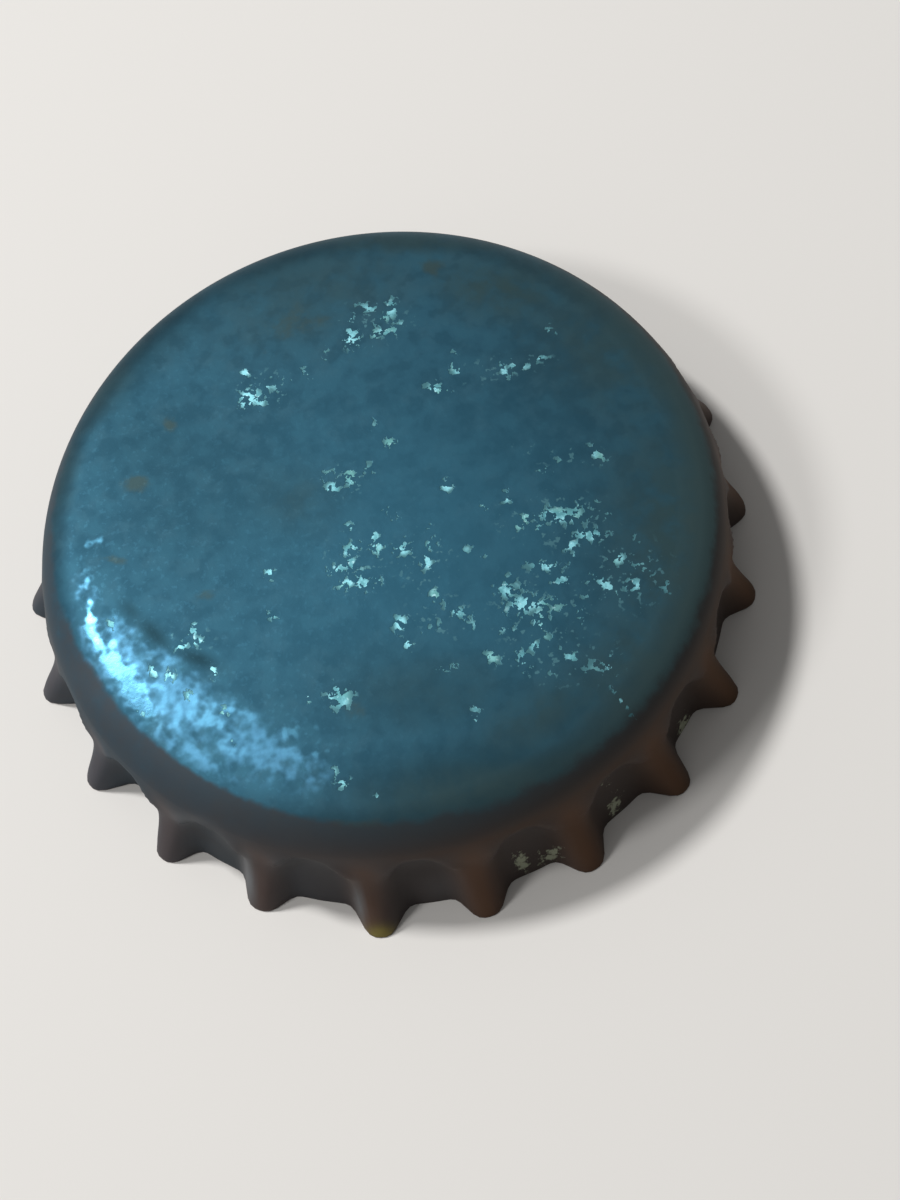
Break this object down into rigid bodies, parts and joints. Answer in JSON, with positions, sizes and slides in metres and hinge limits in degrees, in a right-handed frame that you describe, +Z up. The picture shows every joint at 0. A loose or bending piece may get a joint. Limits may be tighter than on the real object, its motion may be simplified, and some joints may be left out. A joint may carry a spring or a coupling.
{
  "type": "crown bottle cap",
  "caption": "Used crown cap: a domed, fluted tinplate shell in worn blue-green metallic lacquer, with a moulded liner inside that seals the mouth of a glass bottle.",
  "frame": {"origin": "middle of the rim plane that the cap stands on, on the cap's axis", "axes": "+Z up through the panel along the cap's axis, +X through the crest of one flute"},
  "size_m": [0.0298, 0.03, 0.006],
  "materials": {
    "lacquered_tinplate": "worn blue-green metallic lacquer on the panel, stained dark brown on the skirt",
    "liner_compound": "off-white moulded plastic, slightly soft and satin"
  },
  "bodies": {
    "root": {"crown_shell": "lacquered_tinplate", "sealing_liner": "liner_compound"}
  },
  "joints": []
}
